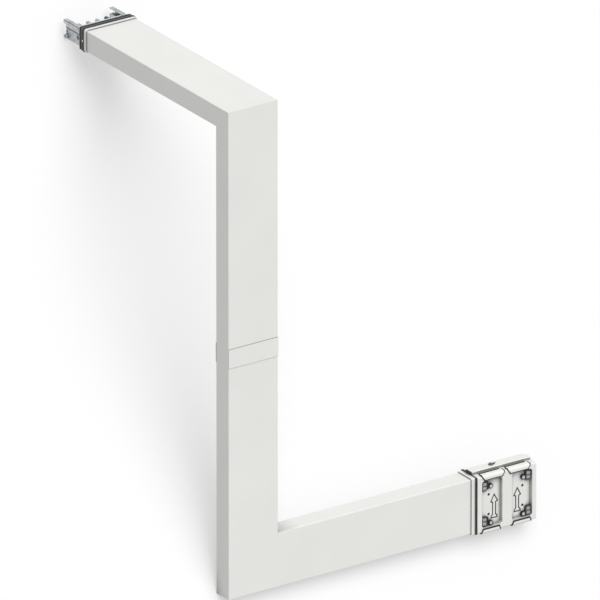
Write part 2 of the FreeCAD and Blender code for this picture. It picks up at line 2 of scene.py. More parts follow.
# # A busway elbow in white powder coat
# The elbow carries four flat conductor bars round two corners of a building. Its solids are already
# measured and packed, so this lesson only dresses them: a finish for every piece, and the small
# things that are too fine for the solids, such as screw sockets, black strips of painted shade along
# the clips, and printed arrows. Some finishes also carry painted shade in seams, hollows and folds.

# %% Load the imported solids
import json
import math
import bpy
import bmesh
import numpy as np
from mathutils import Matrix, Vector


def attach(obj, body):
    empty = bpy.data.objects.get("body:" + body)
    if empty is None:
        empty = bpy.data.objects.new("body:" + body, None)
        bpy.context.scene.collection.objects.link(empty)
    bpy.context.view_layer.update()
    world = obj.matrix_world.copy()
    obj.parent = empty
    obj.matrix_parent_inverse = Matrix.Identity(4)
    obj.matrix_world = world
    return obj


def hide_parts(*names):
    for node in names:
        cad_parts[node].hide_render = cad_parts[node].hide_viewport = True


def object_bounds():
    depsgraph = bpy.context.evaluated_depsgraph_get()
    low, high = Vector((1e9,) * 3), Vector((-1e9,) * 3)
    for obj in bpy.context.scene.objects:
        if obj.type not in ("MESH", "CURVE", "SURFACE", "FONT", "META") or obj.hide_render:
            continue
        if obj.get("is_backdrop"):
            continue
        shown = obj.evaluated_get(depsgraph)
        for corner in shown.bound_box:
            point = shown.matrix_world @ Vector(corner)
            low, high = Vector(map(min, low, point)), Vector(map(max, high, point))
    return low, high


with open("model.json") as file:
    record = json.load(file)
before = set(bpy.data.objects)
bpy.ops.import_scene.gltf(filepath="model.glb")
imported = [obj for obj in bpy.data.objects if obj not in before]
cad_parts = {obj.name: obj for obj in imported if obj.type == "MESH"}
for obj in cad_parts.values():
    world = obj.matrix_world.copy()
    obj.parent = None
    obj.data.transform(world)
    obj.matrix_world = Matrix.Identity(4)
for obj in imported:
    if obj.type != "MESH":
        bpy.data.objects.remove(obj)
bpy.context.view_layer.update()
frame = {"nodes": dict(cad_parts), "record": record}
nodes = frame["nodes"]

# %% [markdown]
# ## The axes of the hanging elbow
# The part is stored as it leans on a floor, but its sizes are easiest to read as it hangs on a wall:
# along the lower leg, back along the upper leg, and up. Three mounts of the record point exactly along
# those axes, so they give the turn back, and the one at the socket lies a known way along the lower leg,
# which gives the origin. Every small piece below is placed in millimetres of the hanging elbow. Where it
# belongs to a solid, that solid's box, read in the same millimetres, says where it goes.

# %% Hanging axes from the mounts
MM = 0.001
SOCKET_PLACE = 839.5
mounts = {mount["name"]: mount for mount in frame["record"]["mounts"]}
ALONG = np.array(mounts["joint_socket"]["axis"])
BACK = np.array(mounts["bar_end"]["axis"])
UP = np.array(mounts["upper_leg_top"]["axis"])
AXES = np.array([ALONG, BACK, UP])
ORIGIN = np.array(mounts["joint_socket"]["pos_m"]) - SOCKET_PLACE * MM * ALONG


def laid(points):
    """Hanging millimetres (along, back, up) as lying metres: the origin plus each length times its axis."""
    return ORIGIN + MM * np.asarray(points, float) @ AXES


def hung(points):
    """Lying metres as hanging millimetres, to a hundredth: the way from the origin measured on each axis."""
    return np.round((np.asarray(points, float) - ORIGIN) @ AXES.T / MM, 2)


def hung_box(name):
    """Lowest and highest corner (along, back, up) of a solid in hanging millimetres, over all its points."""
    mesh = nodes[name].data
    points = np.empty(3 * len(mesh.vertices), np.float32)
    mesh.vertices.foreach_get("co", points)
    places = hung(points.reshape(-1, 3))
    return places.min(axis=0), places.max(axis=0)


print("the upper casing hangs from", *hung_box("upper_casing")[0], "to", *hung_box("upper_casing")[1])

# %% [markdown]
# ## Camera
# The reference is drawn in parallel projection. A very long lens from far away comes so close to it
# that places shift by half a pixel on average. The angles, the point in the middle of the picture and
# the distance were fitted together to the drawing's own axes, and the camera is rolled so that the
# hanging elbow's up is the picture's up.

# %% Camera at the drawing's angle
AZIMUTH = math.radians(34.13)
ELEVATION = math.radians(23.28)
AIM = (343.0, 274.8, 522.6)
LENS = 1690
SENSOR = 36
DISTANCE = 69.4

view_right = np.array([math.cos(AZIMUTH), -math.sin(AZIMUTH), 0])
view_up = np.array([math.sin(AZIMUTH) * math.sin(ELEVATION), math.cos(AZIMUTH) * math.sin(ELEVATION),
                    math.cos(ELEVATION)])
view_back = np.cross(view_right, view_up)
to_camera = view_back @ AXES

camera = bpy.data.objects.new("camera", bpy.data.cameras.new("camera"))
bpy.context.scene.collection.objects.link(camera)
camera.data.lens = LENS
camera.data.sensor_width = SENSOR
camera.data.clip_end = 2 * DISTANCE
pose = np.eye(4)
pose[:3, :3] = np.array([view_right @ AXES, view_up @ AXES, to_camera]).T
pose[:3, 3] = laid(AIM) + to_camera * DISTANCE
camera.matrix_world = Matrix(pose.tolist())
bpy.context.scene.camera = camera
print("camera stands", DISTANCE, "m away")

# %% [markdown]
# ## Nodes and colours
# Colours are written as sRGB hex values, the way a paint chart gives them, and turned to linear light
# here. One small function adds a node, sets it and links it, which keeps every finish short. A Mix node
# repeats its socket names for every kind of value, so its factor, its two colours and its result are
# reached by number.

# %% Helpers for materials
FACTOR = 0
UNDER = 6
OVER = 7
MIXED = 2


def linear(hex_colour):
    """sRGB hex to linear light: each channel over 255, then the sRGB curve undone, with alpha one."""
    parts = np.array([int(hex_colour[place:place + 2], 16) for place in (1, 3, 5)]) / 255
    light = np.where(parts <= 0.04045, parts / 12.92, ((parts + 0.055) / 1.055) ** 2.4)
    return (*[float(part) for part in light], 1.0)


def add_node(tree, kind, options=None, values=None, links=None):
    """Adds a node: options are its own settings, values its sockets, links {socket: (node, output)}."""
    node = tree.nodes.new(kind)
    for name, option in (options or {}).items():
        setattr(node, name, option)
    for socket, value in (values or {}).items():
        node.inputs[socket].default_value = value
    for socket, (source, output) in (links or {}).items():
        tree.links.new(source.outputs[output], node.inputs[socket])
    return node


def new_finish(name):
    """Empty material with its node tree, its output and the Object coordinates that patterns read."""
    material = bpy.data.materials.new(name)
    material.use_nodes = True
    tree = material.node_tree
    tree.nodes.clear()
    place = add_node(tree, "ShaderNodeTexCoord")
    output = add_node(tree, "ShaderNodeOutputMaterial")
    return material, tree, place, output


def per_metre(millimetres):
    """Pattern scale for a real size: how many fit in a metre."""
    return 1000 / millimetres


print("a middle grey, #808080, gives back", round(linear("#808080")[0], 3), "of the light")

# %% [markdown]
# ## Painted shade
# The seams and hollows carry painted shade: the white goes grey in the last millimetres of a seam,
# and a thin grey film lies in hollows. Both are found by how much of the sky a place sees within a
# given reach, so they stay on the piece from every side. The lower leg also has a stretch of painted
# shade on its top, which starts in the inner corner of the bend and fades out along the leg.

# %% Painted shade in seams and hollows
SKY_SAMPLES = 16


def painted_occlusion_shade(tree, clean, painted_shade, reach, sky_seen):
    """Colour turning to painted shade as the sky seen within a reach falls from the second share to the
    first.
    """
    sky = add_node(tree, "ShaderNodeAmbientOcclusion", {"samples": SKY_SAMPLES}, {"Distance": reach * MM})
    bare = add_node(tree, "ShaderNodeMapRange", None, {"From Min": sky_seen[0], "From Max": sky_seen[1]},
                    {"Value": (sky, "AO")})
    return add_node(tree, "ShaderNodeMix", {"data_type": "RGBA"}, {UNDER: linear(painted_shade)},
                    {FACTOR: (bare, "Result"), OVER: (clean, MIXED)})


# %% Painted shade on the lower leg
SHADE_RUN = (98, 158)
SHADE_DRIFT = 24
LOOKS_UP = 0.5


def painted_corner_shade(tree, place, clean, cloud):
    """Painted shade on faces that look up: whole at the run's start, none at its end, a cloudy edge between.
    """
    start, end = [float(laid([along, 0, 0]) @ ALONG) for along in SHADE_RUN]
    along = add_node(tree, "ShaderNodeVectorMath", {"operation": "DOT_PRODUCT"}, {1: tuple(ALONG)},
                     {0: (place, "Object")})
    drift = add_node(tree, "ShaderNodeMath", {"operation": "MULTIPLY_ADD"}, {1: SHADE_DRIFT * MM},
                     {0: (cloud, "Fac"), 2: (along, "Value")})
    fade = add_node(tree, "ShaderNodeMapRange", None,
                    {"From Min": start, "From Max": end, "To Min": 1.0, "To Max": 0.0},
                    {"Value": (drift, "Value")})
    tilt = add_node(tree, "ShaderNodeVectorMath", {"operation": "DOT_PRODUCT"}, {1: tuple(UP)},
                    {0: (place, "Normal")})
    level = add_node(tree, "ShaderNodeMath", {"operation": "GREATER_THAN"}, {1: LOOKS_UP},
                     {0: (tilt, "Value")})
    share = add_node(tree, "ShaderNodeMath", {"operation": "MULTIPLY"}, None,
                     {0: (fade, "Result"), 1: (level, "Value")})
    return add_node(tree, "ShaderNodeMix", {"data_type": "RGBA"}, {OVER: linear("#c4c4c1")},
                    {FACTOR: (share, "Value"), UNDER: (clean, MIXED)})


print("dust runs from", *SHADE_RUN, "mm along the lower leg")

# %% [markdown]
# ## Powder-coated steel
# The casings, collars and covers are folded steel sheet under white polyester powder. Baked powder
# levels out almost flat, with a faint orange peel and a satin gloss. Real orange peel is about 2 mm
# across, which is under a pixel here, so it is drawn a little coarser to show in close views.

# %% White powder coat
CLOUD_SIZE = 140
PEEL_SIZE = 3
PEEL_DEPTH = 0.1
PEEL_STRENGTH = 0.12
SATIN = (0.36, 0.46)
# Reaches and sky shares of the painted shade in hollows and in seams.
HOLLOW_SHADE_REACH = 70
HOLLOW_SHADE_SKY = (0.45, 0.85)
SEAM_SHADE_REACH = 16
SEAM_SHADE_SKY = (0.3, 0.9)
POLYMER_IOR = 1.5


def powder_coat(name, shaded_top):
    """White satin: clouded over a hand's breadth, orange peel as a low bump, painted shade where corners
    close in.
    """
    material, tree, place, output = new_finish(name)
    cloud = add_node(tree, "ShaderNodeTexNoise", None, {"Scale": per_metre(CLOUD_SIZE), "Detail": 3.0},
                     {"Vector": (place, "Object")})
    tint = add_node(tree, "ShaderNodeMix", {"data_type": "RGBA"},
                    {UNDER: linear("#e3e3e0"), OVER: linear("#ebebe8")}, {FACTOR: (cloud, "Fac")})
    # Painted shade on the lower leg's top, from the inner corner of the bend out along the leg.
    if shaded_top:
        tint = painted_corner_shade(tree, place, tint, cloud)
    # Painted shade: grey in hollows, darker grey in the last millimetres of a seam.
    hollow_shaded = painted_occlusion_shade(tree, tint, "#b4b4b1", HOLLOW_SHADE_REACH, HOLLOW_SHADE_SKY)
    seam_shaded = painted_occlusion_shade(tree, hollow_shaded, "#5c5c5a", SEAM_SHADE_REACH, SEAM_SHADE_SKY)
    gloss = add_node(tree, "ShaderNodeMapRange", None, {"To Min": SATIN[0], "To Max": SATIN[1]},
                     {"Value": (cloud, "Fac")})
    peel = add_node(tree, "ShaderNodeTexNoise", None, {"Scale": per_metre(PEEL_SIZE), "Detail": 1.0},
                    {"Vector": (place, "Object")})
    bump = add_node(tree, "ShaderNodeBump", None, {"Strength": PEEL_STRENGTH, "Distance": PEEL_DEPTH * MM},
                    {"Height": (peel, "Fac")})
    shader = add_node(tree, "ShaderNodeBsdfPrincipled", None, {"IOR": POLYMER_IOR},
                      {"Base Color": (seam_shaded, MIXED), "Roughness": (gloss, "Result"),
                       "Normal": (bump, "Normal")})
    tree.links.new(shader.outputs["BSDF"], output.inputs["Surface"])
    return material


PAINT = powder_coat("powder_coated_steel", False)
CORNER_SHADED_PAINT = powder_coat("corner_shaded_powder_coated_steel", True)
print("made", PAINT.name, "and", CORNER_SHADED_PAINT.name)

# %% [markdown]
# ## Galvanised steel
# The guide rails are hot-dip galvanised strip. The zinc freezes in spangles, flat crystals about a
# centimetre across that differ a little in brightness and gloss. A dark line of painted shade runs along
# the edge of the flange and along the jog of the web, and the seams get painted shade as well.

# %% Painted shade along the folds of the rails
RAIL_SIDE, RAIL_TOP = hung_box("right_guide_rail")[1][[0, 2]]
JOG_DROP = 17.3
FOLD_LEVELS = (RAIL_TOP, RAIL_TOP - JOG_DROP)
FOLD_SHADE_REACHES = (1.2, 2.6)
FOLD_SHADE_FADE = 0.6


def painted_fold_shade(tree, place, clean):
    """Painted shade near a fold: how far a place's distance out, left or right, and height lie from the
    fold's.
    """
    arm = add_node(tree, "ShaderNodeVectorMath", {"operation": "SUBTRACT"}, {1: tuple(ORIGIN)},
                   {0: (place, "Object")})
    sideways = add_node(tree, "ShaderNodeVectorMath", {"operation": "DOT_PRODUCT"}, {1: tuple(ALONG)},
                        {0: (arm, "Vector")})
    out = add_node(tree, "ShaderNodeMath", {"operation": "ABSOLUTE"}, None, {0: (sideways, "Value")})
    height = add_node(tree, "ShaderNodeVectorMath", {"operation": "DOT_PRODUCT"}, {1: tuple(UP)},
                      {0: (arm, "Vector")})
    section = add_node(tree, "ShaderNodeCombineXYZ", None, None,
                       {"X": (out, "Value"), "Z": (height, "Value")})
    for level, reach in zip(FOLD_LEVELS, FOLD_SHADE_REACHES):
        gap = add_node(tree, "ShaderNodeVectorMath", {"operation": "DISTANCE"},
                       {1: (RAIL_SIDE * MM, 0, level * MM)}, {0: (section, "Vector")})
        fold_shade = add_node(tree, "ShaderNodeMapRange", None,
                         {"From Min": FOLD_SHADE_FADE * reach * MM, "From Max": reach * MM,
                          "To Min": 1.0, "To Max": 0.0}, {"Value": (gap, "Value")})
        clean = add_node(tree, "ShaderNodeMix", {"data_type": "RGBA"}, {OVER: linear("#3b3e40")},
                         {FACTOR: (fold_shade, "Result"), UNDER: (clean, MIXED)})
    return clean


print("the rails fold at", *FOLD_LEVELS, "mm")

# %% Galvanised strip
SPANGLE_SIZE = 9
SPANGLE_GLOSS = (0.3, 0.48)
STRIP_SHADE_SKY = (0.1, 0.75)


def galvanised_strip():
    """Grey metal whose Voronoi cells, one to a spangle, set small steps of colour and roughness."""
    material, tree, place, output = new_finish("galvanised_steel")
    spangle = add_node(tree, "ShaderNodeTexVoronoi", None, {"Scale": per_metre(SPANGLE_SIZE)},
                       {"Vector": (place, "Object")})
    shade = add_node(tree, "ShaderNodeSeparateColor", None, None, {"Color": (spangle, "Color")})
    tint = add_node(tree, "ShaderNodeMix", {"data_type": "RGBA"},
                    {UNDER: linear("#a3a7aa"), OVER: linear("#c3c6c8")}, {FACTOR: (shade, "Red")})
    # Painted shade: dark lines along the folds, then grey in seams and hollows.
    fold_shaded = painted_fold_shade(tree, place, tint)
    seam_shaded = painted_occlusion_shade(tree, fold_shaded, "#6d7174", SEAM_SHADE_REACH, STRIP_SHADE_SKY)
    gloss = add_node(tree, "ShaderNodeMapRange", None,
                     {"To Min": SPANGLE_GLOSS[0], "To Max": SPANGLE_GLOSS[1]}, {"Value": (shade, "Green")})
    shader = add_node(tree, "ShaderNodeBsdfPrincipled", None, {"Metallic": 1.0},
                      {"Base Color": (seam_shaded, MIXED), "Roughness": (gloss, "Result")})
    tree.links.new(shader.outputs["BSDF"], output.inputs["Surface"])
    return material


STRIP = galvanised_strip()
print("made", STRIP.name)

# %% [markdown]
# ## Plated steel
# The screws and the keepers' inserts carry thin electroplated zinc, which is even and only slightly
# cloudy, bright on the screws and dull on the inserts. The stud and its spring have the same even skin,
# blackened.

# %% Zinc plate
HAZE_SIZE = 5
PLATE_GLOSS = (0.26, 0.42)


def zinc_plate(name, dark, pale):
    """Even plated metal: fine noise moves the colour between two near greys and the roughness with it."""
    material, tree, place, output = new_finish(name)
    haze = add_node(tree, "ShaderNodeTexNoise", None, {"Scale": per_metre(HAZE_SIZE), "Detail": 4.0},
                    {"Vector": (place, "Object")})
    tint = add_node(tree, "ShaderNodeMix", {"data_type": "RGBA"},
                    {UNDER: linear(dark), OVER: linear(pale)}, {FACTOR: (haze, "Fac")})
    gloss = add_node(tree, "ShaderNodeMapRange", None, {"To Min": PLATE_GLOSS[0], "To Max": PLATE_GLOSS[1]},
                     {"Value": (haze, "Fac")})
    shader = add_node(tree, "ShaderNodeBsdfPrincipled", None, {"Metallic": 1.0},
                      {"Base Color": (tint, MIXED), "Roughness": (gloss, "Result")})
    tree.links.new(shader.outputs["BSDF"], output.inputs["Surface"])
    return material


PLATE = zinc_plate("zinc_plated_steel", "#b7babc", "#d6d8d9")
DULL_PLATE = zinc_plate("dull_zinc_plated_steel", "#8b8f91", "#aaadaf")
DARK_STEEL = zinc_plate("blackened_steel", "#4d5053", "#6a6d70")
print("made", PLATE.name, "and", DULL_PLATE.name, "and", DARK_STEEL.name)

# %% [markdown]
# ## Tinned bars
# The conductors are drawn flat bars, tinned so that the contacts stay clean. Drawing leaves fine lines
# along a bar, so a Mapping node stretches the noise along the bars where their tips show. The fourth
# bar is the neutral, and its tip is dipped in matt blue lacquer up to the insulator that holds it.

# %% Tinned bar, plain or with a blue tip
LINE_SIZE = 1.2
LINE_STRETCH = (1.0, 0.06, 0.06)
TIN_GLOSS = (0.24, 0.4)
LACQUER_START = hung_box("bar_carrier")[1][1]
LACQUER_CLOUD = 8
LACQUER_SHEEN = 0.05


def lacquer_tip(tree, place, tint, shader):
    """Blue, matt and no longer metal where a place lies further back than the lacquer's start."""
    start = float(laid([0, LACQUER_START, 0]) @ BACK)
    reach = add_node(tree, "ShaderNodeVectorMath", {"operation": "DOT_PRODUCT"}, {1: tuple(BACK)},
                     {0: (place, "Object")})
    past = add_node(tree, "ShaderNodeMath", {"operation": "GREATER_THAN"}, {1: start}, {0: (reach, "Value")})
    bare = add_node(tree, "ShaderNodeMath", {"operation": "SUBTRACT"}, {0: 1.0}, {1: (past, "Value")})
    cloud = add_node(tree, "ShaderNodeTexNoise", None, {"Scale": per_metre(LACQUER_CLOUD)},
                     {"Vector": (place, "Object")})
    blue = add_node(tree, "ShaderNodeMix", {"data_type": "RGBA"},
                    {UNDER: linear("#00547a"), OVER: linear("#056a93")}, {FACTOR: (cloud, "Fac")})
    cover = add_node(tree, "ShaderNodeMix", {"data_type": "RGBA"}, None,
                     {FACTOR: (past, "Value"), UNDER: (tint, MIXED), OVER: (blue, MIXED)})
    tree.links.new(cover.outputs[MIXED], shader.inputs["Base Color"])
    tree.links.new(bare.outputs["Value"], shader.inputs["Metallic"])
    shader.inputs["Specular IOR Level"].default_value = LACQUER_SHEEN


def tinned_bar(name, blue_tip):
    """Drawn metal: noise stretched along the bar; past the lacquer's start the blue covers it."""
    material, tree, place, output = new_finish(name)
    stretch = add_node(tree, "ShaderNodeMapping", None, {"Scale": LINE_STRETCH},
                       {"Vector": (place, "Object")})
    lines = add_node(tree, "ShaderNodeTexNoise", None, {"Scale": per_metre(LINE_SIZE), "Detail": 3.0},
                     {"Vector": (stretch, "Vector")})
    tint = add_node(tree, "ShaderNodeMix", {"data_type": "RGBA"},
                    {UNDER: linear("#9b9ea0"), OVER: linear("#bdbfbf")}, {FACTOR: (lines, "Fac")})
    gloss = add_node(tree, "ShaderNodeMapRange", None, {"To Min": TIN_GLOSS[0], "To Max": TIN_GLOSS[1]},
                     {"Value": (lines, "Fac")})
    shader = add_node(tree, "ShaderNodeBsdfPrincipled", None, {"Metallic": 1.0},
                      {"Base Color": (tint, MIXED), "Roughness": (gloss, "Result")})
    tree.links.new(shader.outputs["BSDF"], output.inputs["Surface"])
    if blue_tip:
        lacquer_tip(tree, place, tint, shader)
    return material


TIN = tinned_bar("tinned_bar", False)
NEUTRAL = tinned_bar("tinned_bar_blue_tip", True)
print("made", TIN.name, "and", NEUTRAL.name, "with lacquer from", LACQUER_START, "mm")

# %% [markdown]
# ## Rubber, moulded insulators and ink
# The seals are black extruded rubber, dull with a fine bloom. The insulators are glass-filled polyamide,
# pale at the bar end and dark in the joint, and spark-eroded moulds leave their skin a fine even grit.
# The arrows are screen-printed, and printed ink is dull, dark and a little uneven where the mesh left
# it thin.

# %% Dull finishes
GLOSS_SPREAD = 0.06
GRIT_STRENGTH = 0.3
BLACK = ("#0d0e0f", "#1a1b1c", 1.5, 0.6, 0.1)


def dull_finish(name, dark, pale, grain, roughness, depth):
    """Dull solid colour: one noise moves colour, gloss and a bump; grain and depth are in millimetres."""
    material, tree, place, output = new_finish(name)
    grit = add_node(tree, "ShaderNodeTexNoise", None, {"Scale": per_metre(grain), "Detail": 3.0},
                    {"Vector": (place, "Object")})
    tint = add_node(tree, "ShaderNodeMix", {"data_type": "RGBA"},
                    {UNDER: linear(dark), OVER: linear(pale)}, {FACTOR: (grit, "Fac")})
    gloss = add_node(tree, "ShaderNodeMapRange", None,
                     {"To Min": roughness - GLOSS_SPREAD, "To Max": roughness + GLOSS_SPREAD},
                     {"Value": (grit, "Fac")})
    bump = add_node(tree, "ShaderNodeBump", None, {"Strength": GRIT_STRENGTH, "Distance": depth * MM},
                    {"Height": (grit, "Fac")})
    shader = add_node(tree, "ShaderNodeBsdfPrincipled", None, {"IOR": POLYMER_IOR},
                      {"Base Color": (tint, MIXED), "Roughness": (gloss, "Result"),
                       "Normal": (bump, "Normal")})
    tree.links.new(shader.outputs["BSDF"], output.inputs["Surface"])
    return material


RUBBER = dull_finish("black_rubber", *BLACK)
SEAL_RUBBER = dull_finish("riveted_black_rubber", *BLACK)
PALE = dull_finish("pale_polyamide", "#c9cbca", "#d8d9d7", 0.9, 0.5, 0.06)
POLYAMIDE = dull_finish("dark_polyamide", "#2a2c2e", "#3a3c3e", 0.9, 0.55, 0.06)
INK = dull_finish("black_screen_ink", "#101112", "#232425", 1.2, 0.5, 0.02)
print("made", RUBBER.name, "and", PALE.name, "and", POLYAMIDE.name, "and", INK.name)

# %% [markdown]
# ## Rivets in the upper seal
# A flush rivet pins the upper seal on each side, and dust greys the groove between its two lips. Both
# lie level with the rubber, so they need no shape of their own: the seal's finish changes to zinc
# inside a circle and to grey inside the groove.

# %% Zinc rivets and a grey groove
RIVET_PLACE = (0, 607.7, 1198.4)
RIVET_RADIUS = 2.6
RIVET_GLOSS = 0.35
GROOVE = (609.2, 615.8)


def rivet_seal(material):
    """Zinc nearer than the rivet's radius to the line across the seal, and grey in the groove."""
    tree = material.node_tree
    rubber = [node for node in tree.nodes if node.type == "BSDF_PRINCIPLED"][0]
    tint = rubber.inputs["Base Color"].links[0].from_node
    gloss = rubber.inputs["Roughness"].links[0].from_node
    place = add_node(tree, "ShaderNodeTexCoord")
    arm = add_node(tree, "ShaderNodeVectorMath", {"operation": "SUBTRACT"}, {1: tuple(laid(RIVET_PLACE))},
                   {0: (place, "Object")})
    across = add_node(tree, "ShaderNodeVectorMath", {"operation": "CROSS_PRODUCT"}, {1: tuple(ALONG)},
                      {0: (arm, "Vector")})
    reach = add_node(tree, "ShaderNodeVectorMath", {"operation": "LENGTH"}, None, {0: (across, "Vector")})
    inside = add_node(tree, "ShaderNodeMath", {"operation": "LESS_THAN"}, {1: RIVET_RADIUS * MM},
                      {0: (reach, "Value")})
    depth = add_node(tree, "ShaderNodeVectorMath", {"operation": "DOT_PRODUCT"}, {1: tuple(BACK)},
                     {0: (arm, "Vector")})
    middle = np.mean(GROOVE) - RIVET_PLACE[1]
    half = np.ptp(GROOVE) / 2
    groove = add_node(tree, "ShaderNodeMath", {"operation": "COMPARE"}, {1: middle * MM, 2: half * MM},
                      {0: (depth, "Value")})
    lips = add_node(tree, "ShaderNodeMix", {"data_type": "RGBA"}, {OVER: linear("#777a7c")},
                    {FACTOR: (groove, "Value"), UNDER: (tint, MIXED)})
    both = add_node(tree, "ShaderNodeMix", {"data_type": "RGBA"}, {OVER: linear("#d9dbdc")},
                    {FACTOR: (inside, "Value"), UNDER: (lips, MIXED)})
    polish = add_node(tree, "ShaderNodeMapRange", None, {"To Max": RIVET_GLOSS},
                      {"Value": (inside, "Value"), "To Min": (gloss, "Result")})
    tree.links.new(both.outputs[MIXED], rubber.inputs["Base Color"])
    tree.links.new(polish.outputs["Result"], rubber.inputs["Roughness"])
    tree.links.new(inside.outputs["Value"], rubber.inputs["Metallic"])


rivet_seal(SEAL_RUBBER)
print(SEAL_RUBBER.name, "has rivets of", 2 * RIVET_RADIUS, "mm")

# %% [markdown]
# ## Finishes on the solids
# Each solid keeps its mesh and only changes its material slot. The words in a node's name say what it
# is made of, so one table of words is enough for all of them. The first word that fits counts, and
# what fits none is painted.

# %% Give every solid its finish
FINISHES = {"lower_casing": CORNER_SHADED_PAINT, "conductor_4": NEUTRAL, "conductor": TIN, "leaf": TIN,
            "bar_end_gasket": SEAL_RUBBER, "gasket": RUBBER, "carrier": PALE, "block": POLYAMIDE,
            "keeper": POLYAMIDE, "rail": STRIP, "earth": STRIP, "screw": PLATE, "stud": DARK_STEEL}
for name, node in nodes.items():
    words = [word for word in FINISHES if word in name]
    finish = FINISHES[words[0]] if words else PAINT
    node.data.materials.clear()
    node.data.materials.append(finish)
print("finishes:", sorted({node.data.materials[0].name for node in nodes.values()}))

# %% [markdown]
# ## Surfaces from arrays
# Every small piece is a grid of points worked out at once, with no loop over vertices. Neighbouring
# points make the faces, columns close on themselves and rows may too, and points that fall together, as
# at a pole, are merged before the faces are turned outwards.

# %% Helper that turns a grid into a riding piece
SHARP_ANGLE = math.radians(30)
MERGE_DISTANCE = 1e-6


def put_grid(name, grid, finish, wrap_rows=False):
    """Mesh from an array of rows by columns by three: quads between neighbours, columns closed."""
    rows, columns = grid.shape[:2]
    index = np.arange(rows * columns).reshape(rows, columns)
    right = np.roll(index, -1, axis=1)
    below = np.roll(index, -1, axis=0)
    quads = np.stack([index, right, np.roll(below, -1, axis=1), below], axis=-1)
    quads = quads if wrap_rows else quads[:-1]
    mesh = bpy.data.meshes.new(name)
    mesh.from_pydata(laid(grid.reshape(-1, 3)).tolist(), [], quads.reshape(-1, 4).tolist())
    soup = bmesh.new()
    soup.from_mesh(mesh)
    bmesh.ops.remove_doubles(soup, verts=soup.verts, dist=MERGE_DISTANCE)
    bmesh.ops.recalc_face_normals(soup, faces=soup.faces)
    soup.to_mesh(mesh)
    soup.free()
    mesh.polygons.foreach_set("use_smooth", np.ones(len(mesh.polygons), bool))
    mesh.set_sharp_from_angle(angle=SHARP_ANGLE)
    mesh.materials.append(finish)
    piece = bpy.data.objects.new(name, mesh)
    bpy.context.scene.collection.objects.link(piece)
    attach(piece, "root")
    return piece


# %% [markdown]
# ## Captive screws
# Four socket screws clamp the joint. Each stands in a black bush on the pan of a window, so from the
# front it is a bright disc in a dark ring. A lathe profile gives the screw, and inside the socket the
# radius follows a hexagon instead of a circle, so head and socket are one surface. The bush is a second
# lathe profile that closes on itself. The solid of each screw says where its axis is.

# %% Lathe for screws and bushes
PAN_FACE = hung_box("screw_keeper_1")[1][1]
ROUND_STEPS = 48


def turned(along, up, stations):
    """Lathe about an axis to the front: each station is radius, height and 1 where the ring is a hexagon."""
    angles = np.linspace(0, 2 * math.pi, ROUND_STEPS, endpoint=False)
    radius, height, hexed = np.array(stations, float).T[:, :, None]
    sector = (angles + math.pi / 6) % (math.pi / 3) - math.pi / 6
    rings = radius * np.where(hexed > 0, 1 / np.cos(sector), 1)
    return np.stack([along + rings * np.cos(angles), PAN_FACE - height * np.ones_like(angles),
                     up + rings * np.sin(angles)], axis=-1)


print("the screws stand on the pans' face at", PAN_FACE, "mm")

# %% Captive screws with hexagon sockets, and their bushes
SCREW_COUNT = 4
BUSH_RADIUS = 6.2
BUSH_HEIGHT = 7
BUSH_ROUND = 0.8
ROUND_INSET = 0.25
HEAD_RADIUS = 4.3
HEAD_SUNK = 0.3
HEAD_BEVEL = 0.4
SHANK_LENGTH = 2.5
SHANK_RADIUS = 4
SOCKET_FLATS = 1.9
SOCKET_MOUTH = 1.3
SOCKET_DEPTH = 3
SOCKET_CONE = 0.6


def socket_screw(along, up):
    """Shank behind the pan, a head with a small bevel, and a hexagon socket with a coned floor."""
    top = BUSH_HEIGHT - HEAD_SUNK
    bottom = top - SOCKET_DEPTH
    shank = [(0, -SHANK_LENGTH, 0), (SHANK_RADIUS, -SHANK_LENGTH, 0), (SHANK_RADIUS, 0, 0)]
    head = [(HEAD_RADIUS, 0, 0), (HEAD_RADIUS, top - HEAD_BEVEL, 0), (HEAD_RADIUS - HEAD_BEVEL, top, 0)]
    socket = [(SOCKET_MOUTH * SOCKET_FLATS, top, 0), (SOCKET_FLATS, top - HEAD_BEVEL, 1),
              (SOCKET_FLATS, bottom, 1), (0, bottom - SOCKET_CONE, 0)]
    return turned(along, up, shank + head + socket)


def bush(along, up):
    """Ring from the head out to the bush's radius, with its outer top edge rounded off."""
    wall = [(HEAD_RADIUS, 0, 0), (BUSH_RADIUS, 0, 0), (BUSH_RADIUS, BUSH_HEIGHT - BUSH_ROUND, 0)]
    rim = [(BUSH_RADIUS - ROUND_INSET, BUSH_HEIGHT - ROUND_INSET, 0),
           (BUSH_RADIUS - BUSH_ROUND, BUSH_HEIGHT, 0), (HEAD_RADIUS, BUSH_HEIGHT, 0)]
    return turned(along, up, wall + rim)


for count in range(1, SCREW_COUNT + 1):
    along, _, up = np.mean(hung_box(f"captive_screw_{count}"), axis=0)
    screw = put_grid(f"socket_screw_{count}", socket_screw(along, up), PLATE)
    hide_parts(f"captive_screw_{count}")
    put_grid(f"screw_bush_{count}", bush(along, up), RUBBER, wrap_rows=True)
print(SCREW_COUNT, "screws in bushes")

# %% [markdown]
# ## Pads and inserts
# A black pad fills the gap between each keeper of the left window and its screw, where it stands in
# for the shade in that gap: painted shade. A black patch closes each hole of the right window from
# behind, and a small black catch sits on the left rail's web near its end, where it stands in for the
# shade of a dimple: painted shade. Each keeper is a dark moulding with two plated inserts let into its
# face. All of these are slabs with a rounded outline: a superellipse is shrunk to nothing at the bottom
# and top and pulled in a little along the upper edge.

# %% Slab with a rounded outline
SQUARENESS = 5


